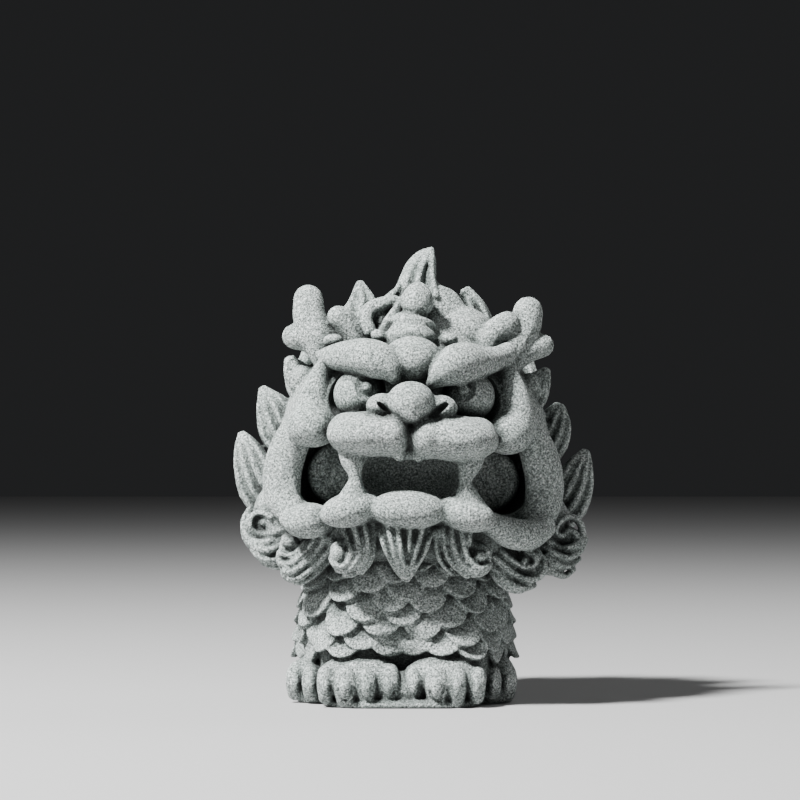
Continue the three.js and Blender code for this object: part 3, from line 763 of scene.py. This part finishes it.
# %% Antlers
TINES = {
    -1: [
        {"path": [(-17, -9, 71), (-21.3, -9, 78), (-23.9, -8.4, 82.6), (-24.5, -7.4, 86.9)],
         "wide": [4, 4.1, 3.7, 3.3]},
        {"path": [(-18, -9, 73.5), (-23, -8.6, 77.8), (-27.1, -8, 78.7)], "wide": [3, 3, 2.8]},
        {"path": [(-13, -10, 75), (-14.6, -10.5, 79.5), (-16.6, -11.3, 82.2), (-17.6, -11.8, 83.1)],
         "wide": [3.4, 3.1, 2.8, 2.6]},
    ],
    1: [
        {"path": [(17, -9, 71), (20.6, -9, 78), (23, -8.4, 82.4), (23.7, -7.4, 86.1)],
         "wide": [4, 4, 3.6, 3.3]},
        {"path": [(18, -9, 73.5), (23.4, -8.6, 77.6), (27, -8, 78.8)], "wide": [3, 3, 2.65]},
        {"path": [(14, -10, 75.5), (15.6, -10.4, 80), (17.9, -11.2, 82.4), (19.1, -11.6, 83.3)],
         "wide": [3.4, 3.1, 2.8, 2.6]},
    ],
}
for s in SIDES:
    for tine in TINES[s]:
        head.append(limb(tine["path"], tine["wide"], sides=16, steps=4, ends=1))
    head.append(ball(mirror(s, (20.5, -9, 78.2)), (4.4, 3.4, 4.2), fine=24))
head.append(ball((-18.6, -14.8, 77.9), (2.2, 2.0, 1.5), (0, -8, 0), fine=20))

# %% The horn
HORN = [  # where the middle of each ring is, and its radius
    (-1.7, -15.5, 76.5, 5.0), (-1.7, -15.5, 78.3, 5.6), (-1.6, -15.4, 79.6, 5.7), (-1.6, -15.2, 80.5, 4.9),
    (-1.5, -15.0, 81.0, 4.2), (-1.4, -14.9, 81.6, 4.8), (-1.3, -14.8, 82.4, 4.9), (-1.2, -14.6, 83.3, 4.2),
    (-1.0, -14.5, 84.1, 2.7), (-0.9, -14.6, 84.8, 2.7), (-0.8, -14.8, 85.5, 3.3), (-0.7, -15.0, 86.8, 3.6),
    (-0.6, -14.6, 88.4, 3.3), (-0.6, -14.0, 89.8, 2.4), (-0.6, -13.4, 90.6, 1.2),
]
head.append(limb([ring[:3] for ring in HORN], [ring[3] for ring in HORN], sides=28, steps=2, ends=0.5))

# %% The crest and the cap of hair
CREST = {
    "path": [(0.2, -4.6, 78), (0.3, -5, 83), (0.2, -4.6, 86.8), (-0.4, -3.8, 89.6), (-0.6, -3, 92.2),
        (0, -1.6, 95), (1, 0, 97.5), (2.0, 1.8, 99.5)],
    "wide": [13, 12, 9.3, 6.0, 4.2, 3.5, 2.4, 0.6],
    "thick": [7, 6.5, 5.8, 5.0, 4.2, 3.2, 2.1, 0.8],
}
CREST_LINES = [
    ([(-3.2, -7.6, 90), (-2.9, -6.8, 92.4), (-1.6, -4.8, 95.4), (0.4, -2, 98.2)], 1.1),
    ([(-0.6, -9, 91.4), (-0.2, -6.6, 94), (0.8, -4, 96.6), (1.8, -1, 99)], 1.0),
    ([(3.4, -9.4, 88.4), (2.6, -7.6, 91.4), (2.2, -5.4, 94.2), (2.3, -2.4, 97.4), (2.2, 0.4, 99.3)], 1.1),
    ([(-6.6, -8.6, 87.6), (-5.0, -7.4, 90), (-3.9, -5.6, 92.6), (-2.6, -3.6, 95.4)], 1.0),
]
EAR = [(-10.6, -13.4, 80.2), (-11.7, -12, 82.8), (-10.7, -11, 85.2), (-7.9, -10.8, 86.5),
    (-5.2, -10.4, 87.4)]
EAR_STRAND = [(-8.0, -14.2, 80.0), (-6.9, -13.6, 82.2), (-5.6, -12.9, 84.2), (-4.2, -11.8, 86.4),
    (-3.2, -10.2, 88.6)]
crest = limb(**CREST, facing=(0, -1, 0.1), sides=32, steps=4)
head += [
    ball((0, -2, 74), (15.5, 17, 12.4), fine=40),
    ball((8.4, -4.6, 79.4), (8.8, 8.2, 7.7), fine=40),
    crest,
    ball((-8.4, -8.6, 83), (3.2, 3, 4), (0, 18, 0), fine=24),
]
for points, radius in CREST_LINES:
    head.append(strand(points, radius, radius * 0.6, steps=4))
head.append(limb(EAR, [1.5, 1.7, 1.7, 1.6, 1.1], steps=4))
head.append(limb(EAR_STRAND, [1.1, 1.2, 1.2, 1.1, 0.8], steps=4))
head.append(ball((-8.6, -16, 79.3), (1.9, 2.1, 1.4), (0, 10, 0), fine=16))
head.append(ball((6.4, -16.4, 79.0), (2.2, 2.2, 1.4), (0, -8, 0), fine=16))
print("crown done:", len(head), "shapes")

# %% [markdown]
# ## The body and its scales
#
# The squat body is two forelegs, two haunches, a belly and a back, with a full chest over
# them, all leaning in towards the neck. One scale is modelled once, as a domed disc, and
# copied in staggered rows. A Shrinkwrap modifier would press the copies flat on the body, so
# each is wrapped on it by rays instead, point by point, and lifted at its lower edge, and the
# upper rows lie over the lower ones.

# %% The body
COLUMNS = [(-9.6, -12.6, 10), (9.6, -12.6, 10), (-14.4, 5, 10.3), (14.4, 5, 10.3), (0, 0, 18.5),
    (0, 9.5, 17)]
TAPER = [0.95, 1, 0.98, 0.92, 0.84, 0.68]
TOP = 37


def column(x, y, r):
    heights = [TOP * i / (len(TAPER) - 1) for i in range(len(TAPER))]
    path = [(x * t, y * t, h) for t, h in zip(TAPER, heights)]
    return limb(path, [(r - 1.2) * t for t in TAPER], facing=(0, -1, 0), sides=32, steps=3, ends=0.1)


body_forms = [column(*c) for c in COLUMNS]
body_forms.append(ball((0, -8.6, 28), (13.6, 12.4, 13.5), fine=40))
body_forms.append(ball((0, -11.6, 21.5), (10, 9.4, 11.5), fine=40))
body_forms += [ball(mirror(s, (14.6, -6.5, 19)), (7.2, 8.5, 15), fine=40) for s in SIDES]
trunk = use(fuse(body_forms, "trunk", 0.8), "SMOOTH", factor=0.5, iterations=30)
print("trunk:", len(trunk.data.polygons), "faces")


def surface_of(shape):
    """A search tree of the shape's faces, which answers many rays much faster than the shape."""
    places = [vertex.co for vertex in shape.data.vertices]
    return BVHTree.FromPolygons(places, [face.vertices for face in shape.data.polygons])


# %% One scale
SCALE_RADIUS = 4.5
SCALE_TIP = 4.3  # from a scale's middle down to its tip, along the body


def scale_shape():
    """A shield: a disc with a softened edge and a raised middle."""
    clear()
    bpy.ops.mesh.primitive_cylinder_add(
        vertices=24, radius=SCALE_RADIUS, depth=1.5, rotation=(math.pi / 2, 0, 0)
    )
    bpy.ops.object.transform_apply()
    shield = soften(bpy.context.object, 0.3, 2)
    faces = shield.data.polygons
    faces.foreach_set("select", [face.normal.y > 0.99 for face in faces])
    bpy.ops.object.mode_set(mode="EDIT")
    for rise in (0.22, 0.12):
        bpy.ops.mesh.inset(thickness=1.3)
        bpy.ops.transform.translate(value=(0, rise, 0))
    return edited()


def smooth_out(place):
    """The way out of the body, as if its section were one squarish oval."""
    bent = [math.copysign(abs(v / 22) ** 1.6, v) for v in (place.x, place.y)]
    return Vector((bent[0], bent[1], 0.06)).normalized()


def set_scale(model, origin, toward, lift):
    """Copies the scale to where the ray meets the trunk and wraps it on, its lower edge lifted."""
    place = skin.ray_cast(Vector(origin), Vector(toward).normalized())[0]
    out = smooth_out(place)
    across = out.cross(Vector((0, 0, 1))).normalized()
    up = across.cross(out)
    copy = model.copy()
    copy.data = model.data.copy()
    bpy.context.collection.objects.link(copy)
    for vertex in copy.data.vertices:
        over, rise, height = vertex.co
        flat = place + across * over + up * height
        under = skin.ray_cast(flat + out * 12, -out)[0]
        base = under if under and (under - flat).length < 4 else flat
        vertex.co = base + out * (rise + lift * (0.5 - height / (2 * SCALE_RADIUS)) - 1.1)
    return copy


# %% The rows of scales
FRONT_LIFT, SIDE_LIFT = 3.0, 2.4
# Lower tips of the scales that face the front, from the body's axis and the ground
FRONT_SCALES = [
    (-12.3, 22.2), (-17.9, 18.6), (-8.0, 18.0), (-3.0, 20.2), (0.3, 22.6), (4.6, 20.0),
    (5.5, 25.4), (11.1, 23.1), (13.8, 19.7), (-13.0, 15.0), (-4.9, 14.9), (-0.4, 17.2),
    (3.7, 14.3), (8.8, 16.8), (16.4, 15.6), (-8.7, 12.1), (12.2, 12.8), (7.5, 10.8),
    (-3.2, 10.6), (1.8, 10.8), (-7.0, 24.2), (-13, 26.6), (14.6, 26.4), (-16.6, 11.4),
    (-17.6, 24.6), (18.2, 22.6), (-2, 26.4), (17.4, 11.4), (-12.7, 10.4), (13.9, 9.8),
    (9.4, 27.6), (-9.6, 28.6), (2.6, 28.8),
]
SIDE_ROWS = {"heights": (13, 16.9, 20.8, 24.7, 28.6), "pitch": 22, "first": 56, "last": 310}

skin = surface_of(trunk)
scale = scale_shape()
scales = [set_scale(scale, (x, -60, z + SCALE_TIP), (0, 1, 0), FRONT_LIFT) for x, z in FRONT_SCALES]
for row, z in enumerate(SIDE_ROWS["heights"]):
    turn = SIDE_ROWS["first"] + (row % 2) * SIDE_ROWS["pitch"] / 2
    while turn < SIDE_ROWS["last"]:
        way = Vector((math.sin(math.radians(turn)), -math.cos(math.radians(turn)), 0))
        scales.append(set_scale(scale, way * 60 + Vector((0, 0, z)), -way, SIDE_LIFT))
        turn += SIDE_ROWS["pitch"]
bpy.data.objects.remove(scale)
body = [trunk, *scales]
print("scales:", len(scales))

# %% [markdown]
# ## Paws, tail and foot
#
# Each forepaw rolls over from the leg into four toes, and each toe ends in a claw like a drop,
# set in a hollow. The hollow could be pressed into the toe's faces, but a cut gives it a clear
# edge. The hind paws show as smaller copies at the sides. Behind, the tail is three flames
# that lie up the back. All four paws stand on a thin foot that is ground flat.

# %% Toes and claws
FORE_TOES = [  # x and size of each toe
    (-16.9, 0.8), (-12.7, 1.05), (-8.2, 0.92), (-3.6, 1.05),
    (1.9, 0.88), (6.8, 1.08), (11.1, 0.88), (15.3, 0.82),
]
HIND_TOES = [  # x, y and size
    (-23.7, -10.0, 0.95), (-20.2, -13.6, 0.9), (22.2, -10.6, 0.95), (18.9, -14.2, 0.85),
]
PAWS = {-1: (-9.8, -17.5, 5.7), 1: (8.8, -17.5, 5.7)}
PAW_ROW = {"middle": -0.5, "apart": 9.4, "front": -24.8, "bend": 1.8, "half_width": 7}


def toe(x, y, size, lean=0.0):
    """A knuckle that arches over a hollow, and a claw like a drop in the hollow."""
    path = [
        (x - lean * 3, y + 6.0, 6.6), (x - lean * 1.6, y + 3.2, 7.0), (x - lean * 0.4, y + 0.9, 6.1),
        (x, y + 0.2, 4.2), (x, y + 1.2, 1.8),
    ]
    wide = [r * size for r in (1.7, 2.2, 2.45, 2.4, 2.0)]
    made = limb(path, wide, facing=(lean * 0.3, -1, 0.6), sides=20, steps=4)
    hollow = (1.85 * size, 2.7 * size, 3.6 * size)
    cut(made, ball((x, y - 2.6 * size, 3.8), hollow, (4, 0, 0), fine=24))
    drop = [
        (x, y + 0.2, 6.8), (x, y - 1.1 * size, 5.6), (x, y - 1.6 * size, 4.2), (x, y - 1.1 * size, 2.7)
    ]
    return [made, limb(drop, [r * size for r in (0.5, 1.05, 1.2, 0.85)], sides=14, ends=1.0)]


for s in SIDES:
    body.append(ball(PAWS[s], (8.9, 7.5, 5.9), (-8, 0, s * 6), fine=40))
    body.append(ball(mirror(s, (17.4, -6, 3)), (6.4, 7.2, 8), (0, 0, s * 20), fine=32))
body.append(ball((-0.7, -18, 3), (5, 6.2, 4.6), fine=24))
body += [ball(mirror(s, (19.8, -6.6, 6)), (4.2, 5.4, 4.4), (0, 0, s * 20), fine=24) for s in SIDES]
for x, size in FORE_TOES:
    off = x - PAW_ROW["middle"]
    off = (off - math.copysign(PAW_ROW["apart"], off)) / PAW_ROW["half_width"]
    body += toe(x, PAW_ROW["front"] + PAW_ROW["bend"] * off * off, size)
for x, y, size in HIND_TOES:
    body += toe(x, y, size, math.copysign(0.5, x))
print("body with paws:", len(body), "shapes")

# %% Tail
SIDE_FLAME = [(5, 20, 5), (8.5, 26, 11), (9.5, 26, 18), (13, 28.6, 25)]
TAIL = [
    {"path": [(0, 22, 6), (0, 28.6, 14), (0, 28.6, 24), (0, 32.6, 33)], "wide": [4, 5.4, 4.6, 1]},
    *({"path": [mirror(s, p) for p in SIDE_FLAME], "wide": [3, 4.4, 3.8, 1]} for s in SIDES),
]
for flame in TAIL:
    body += sheaf(**flame, thick=[3, 3.6, 3, 1], facing=(0, 1, 0.2), count=4)

# %% Foot
FOOT = {"middle": (-0.6, -2.4, -1), "half_size": (17.2, 23.6, 1), "corner": 10}
FOOT_STEPS = [(2.0, (0.985, 0.985, 1)), (0.6, (0.94, 0.96, 1))]  # how high, and how far it draws in

clear()
bpy.ops.mesh.primitive_plane_add(size=2, location=FOOT["middle"])
foot = bpy.context.object
foot.scale = FOOT["half_size"]
bpy.ops.object.transform_apply()
edit(foot)
bpy.ops.mesh.bevel(offset=FOOT["corner"], segments=8, affect="VERTICES")
for rise, draw_in in FOOT_STEPS:
    bpy.ops.mesh.extrude_region_move(TRANSFORM_OT_translate={"value": (0, 0, rise)})
    bpy.ops.transform.resize(value=draw_in)
body.append(edited())
print("body:", len(body), "shapes")

# %% [markdown]
# ## One stone
#
# The head is leaned over and set on the body, and everything is fused into one fine skin. The
# underside is ground flat by a cut along the ground. Decimate takes faces away where the skin
# is plain, scraps that came loose are deleted, and the whole is brought to its real size.

# %% Set the head on the body and fuse
head = gather(head, "head")
edit(head)
bpy.ops.transform.rotate(value=-HEAD_LEAN, orient_axis="Y", center_override=(0, 0, NECK.z))
bpy.ops.transform.translate(value=(NECK.x, NECK.y, 0))
edited()
body = gather(body, "body")
edit(body)
bpy.ops.transform.translate(value=(BODY.x, BODY.y, 0))
edited()

VOXEL = 0.31
stone = fuse([head, body], "qilin_stone", VOXEL)
print("fused:", len(stone.data.polygons), "faces")

# %% Grind the underside flat and bring to size
MOST_TRIANGLES = 196000


def triangles(shape):
    return sum(len(face.vertices) - 2 for face in shape.data.polygons)


def grind_flat(shape):
    edit(shape)
    bpy.ops.mesh.bisect(plane_co=(0, 0, 0), plane_no=(0, 0, 1), use_fill=True, clear_inner=True)
    edited()


def drop_crumbs(shape):
    """Deletes the scraps of mesh that aren't joined to the shape's highest point."""
    edit(shape)
    bpy.ops.mesh.select_all(action="DESELECT")
    edited()
    max(shape.data.vertices, key=lambda vertex: vertex.co.z).select = True
    bpy.ops.object.mode_set(mode="EDIT")
    bpy.ops.mesh.select_linked()
    bpy.ops.mesh.select_all(action="INVERT")
    bpy.ops.mesh.delete(type="VERT")
    edited()


use(stone, "SMOOTH", factor=0.4, iterations=1)
grind_flat(stone)
if triangles(stone) > MOST_TRIANGLES:
    use(stone, "DECIMATE", ratio=MOST_TRIANGLES / triangles(stone))
drop_crumbs(stone)
face_out(stone)
pick(stone)
bpy.ops.transform.resize(value=(SHARE, SHARE, SHARE), center_override=(0, 0, 0))
bpy.ops.object.transform_apply()
bpy.ops.object.shade_smooth()
print("stone:", triangles(stone), "triangles")

# %% [markdown]
# ## Darker hollows
# Little light gets into the hollows of a stone, so their shade is painted into its colour. Dirty
# Vertex Colors measures only how sharply the skin bends, which finds no deep hollow. So rays go out
# from each point of the stone, a fan of them around its normal, and the share of them that meets
# no stone within a few millimetres tells how open it is there. It is kept on the mesh as an
# attribute, and the colour is painted darker where the stone is less open.

# %% How open each point is
# Each ray's angle from the normal and its turn about it, in degrees
FAN = [(0, 0), *((38, k * 90) for k in range(4)), *((68, 45 + k * 60) for k in range(6))]
REACH = 0.006
RAY_LIFT = 0.0001  # off the surface, so that a ray doesn't meet the face that it starts from

walls = surface_of(stone)
fan = []
for angle, turn in FAN:
    aside, turn = math.sin(math.radians(angle)), math.radians(turn)
    fan.append((math.cos(math.radians(angle)), aside * math.cos(turn), aside * math.sin(turn)))
open_share = []
for vertex in stone.data.vertices:
    out = vertex.normal
    side = out.orthogonal().normalized()
    over = out.cross(side)
    start = vertex.co + out * RAY_LIFT
    free = 0.0
    for a, b, c in fan:
        distance = walls.ray_cast(start, out * a + side * b + over * c, REACH)[3]
        free += 1.0 if distance is None else distance / REACH
    open_share.append(free / len(fan))
openness = stone.data.attributes.new("open", "FLOAT", "POINT")
openness.data.foreach_set("value", open_share)
print("openness:", round(min(open_share), 2), round(sum(open_share) / len(open_share), 2))

# %% [markdown]
# ## Sandstone
#
# The stone is a matte mix of grey-green, dark and white grains about half a millimetre wide,
# with a sandy surface. A photo of stone could be wrapped on it, but would show seams and
# stretch. So fine noise on Object coordinates makes the sand, and stays put on the stone from
# every side, Voronoi cells pick out single grains, and the same noise drives a small bump.

# %% Helpers for nodes
def node(kind, **values):
    """A new node, whose inputs or settings have these values."""
    made = tree.nodes.new(kind)
    for name, value in values.items():
        if name in made.inputs:
            made.inputs[name].default_value = value
        else:
            setattr(made, name, value)
    return made


def ramp_of(source, stops):
    """A colour ramp with these stops, driven by a socket."""
    made = node("ShaderNodeValToRGB")
    ends = made.color_ramp.elements
    ends[0].position, ends[0].color = stops[0]
    ends[1].position, ends[1].color = stops[-1]
    for position, colour in stops[1:-1]:
        ends.new(position).color = colour
    link(source, made.inputs["Fac"])
    return made.outputs["Color"]


def grey(value, tint=0.0):
    """A grey with a little more green in it."""
    return (value * (1 - tint), value * (1 + tint * 0.4), value * (1 - tint * 0.2), 1)


# %% Sand and grains
SAND = {"Scale": 2300, "Detail": 3, "Roughness": 0.7}
GRAINS = {"Scale": 1900, "Randomness": 1.0}
PATCHES = {"Scale": 70, "Detail": 2}

sandstone = bpy.data.materials.new("grained_sandstone")
sandstone.use_nodes = True
tree = sandstone.node_tree
link = tree.links.new
shader = tree.nodes["Principled BSDF"]
shader.inputs["Roughness"].default_value = 0.92
place = node("ShaderNodeTexCoord")
sand = node("ShaderNodeTexNoise", **SAND)
grains = node("ShaderNodeTexVoronoi", **GRAINS)
patches = node("ShaderNodeTexNoise", **PATCHES)
for texture in (sand, grains, patches):
    link(place.outputs["Object"], texture.inputs["Vector"])
sand_tone = ramp_of(sand.outputs["Fac"], [
    (0.34, grey(0.06, 0.10)), (0.44, grey(0.23, 0.08)), (0.54, grey(0.42, 0.06)), (0.66, grey(0.86, 0.04)),
])
draw = node("ShaderNodeSeparateColor")  # one random number for each cell
link(grains.outputs["Color"], draw.inputs["Color"])
grain_tone = ramp_of(draw.outputs["Red"], [
    (0.0, grey(0.06, 0.1)), (0.16, grey(0.12, 0.08)), (0.84, grey(0.75, 0.01)), (1.0, grey(0.92)),
])
is_drawn = ramp_of(draw.outputs["Red"], [(0.15, grey(1)), (0.19, grey(0)), (0.80, grey(0)), (0.84, grey(1))])
is_middle = ramp_of(grains.outputs["Distance"], [(0.24, grey(0.85)), (0.42, grey(0))])
is_grain = node("ShaderNodeMath", operation="MULTIPLY")
link(is_drawn, is_grain.inputs[0])
link(is_middle, is_grain.inputs[1])
mixed = node("ShaderNodeMix", data_type="RGBA")
link(is_grain.outputs[0], mixed.inputs["Factor"])
link(sand_tone, mixed.inputs["A"])
link(grain_tone, mixed.inputs["B"])
print("sand and grains:", len(tree.nodes), "nodes")

# %% Hollows, patches and roughness of the stone
hollow = node("ShaderNodeAttribute", attribute_name="open")
# painted shade: the base colour goes much darker where the stone is less open, where shade falls in its
# hollows
painted_shade = ramp_of(hollow.outputs["Fac"], [
    (0.25, grey(0.03, 0.05)), (0.58, grey(0.12, 0.04)), (0.78, grey(0.45, 0.03)), (0.94, grey(1.0)),
])
patch_tone = ramp_of(patches.outputs["Fac"], [(0.3, grey(0.86, 0.03)), (0.7, grey(1.0))])
colour = mixed.outputs["Result"]
for layer in (painted_shade, patch_tone):
    times = node("ShaderNodeMix", data_type="RGBA", blend_type="MULTIPLY", Factor=1.0)
    link(colour, times.inputs["A"])
    link(layer, times.inputs["B"])
    colour = times.outputs["Result"]
link(colour, shader.inputs["Base Color"])
bump = node("ShaderNodeBump", Strength=1.0, Distance=0.0009)
link(sand.outputs["Fac"], bump.inputs["Height"])
link(bump.outputs["Normal"], shader.inputs["Normal"])
stone.data.materials.clear()
stone.data.materials.append(sandstone)
print("sandstone:", len(tree.nodes), "nodes")

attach(stone, "root")
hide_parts("qilin_figure")

# %% [markdown]
# ## Floor, light and camera
#
# The figure stands on a plain pale floor. A large lamp would be softer, but a rather small key
# light from the upper left brings out the relief, and two weak lights open the shadows. The
# camera stands 0.7 m in front, just above the middle of the figure.

# %% Floor
clear()
bpy.ops.mesh.primitive_plane_add(size=6, location=(0, 0, -0.0002))
floor = bpy.context.object
floor.name = "floor"
pale = bpy.data.materials.new("pale_floor")
pale.use_nodes = True
pale_shader = pale.node_tree.nodes["Principled BSDF"]
pale_shader.inputs["Base Color"].default_value = (0.32, 0.32, 0.32, 1)
pale_shader.inputs["Roughness"].default_value = 0.8
floor.data.materials.append(pale)

# %% Light
LIGHTS = {  # where each lamp is, its width in metres and its power in watts
    "key": ((-0.44, -0.36, 0.74), 0.11, 44),
    "fill": ((-0.1, -0.8, 0.12), 0.4, 0.45),
    "rim": ((0.4, 0.3, 0.5), 0.3, 1.2),
}
FIGURE_MIDDLE = Vector((0, 0, 0.05))


def aim_at(seer, target):
    seer.rotation_euler = (target - seer.location).to_track_quat("-Z", "Y").to_euler()


for name, (place, size, power) in LIGHTS.items():
    clear()
    bpy.ops.object.light_add(type="AREA", location=place)
    light = bpy.context.object
    light.name = name
    light.data.size = size
    light.data.energy = power
    aim_at(light, FIGURE_MIDDLE)

world = bpy.context.scene.world or bpy.data.worlds.new("studio")
bpy.context.scene.world = world
world.use_nodes = True
sky = world.node_tree.nodes["Background"]
sky.inputs["Color"].default_value = (0.9, 0.92, 0.95, 1)
sky.inputs["Strength"].default_value = 0.02
print("lights:", ", ".join(LIGHTS))

# %% Camera
ASIDE = -0.00304  # the figure stands a little right of the middle of the photo
clear()
bpy.ops.object.camera_add(location=(ASIDE, -0.6974, 0.055))
camera = bpy.context.object
aim_at(camera, Vector((ASIDE, 0, 0.06587)))
camera.data.lens = 142.4
camera.data.sensor_width = 36
bpy.context.scene.camera = camera
print("the camera is", round(camera.location.length, 3), "m from the figure")
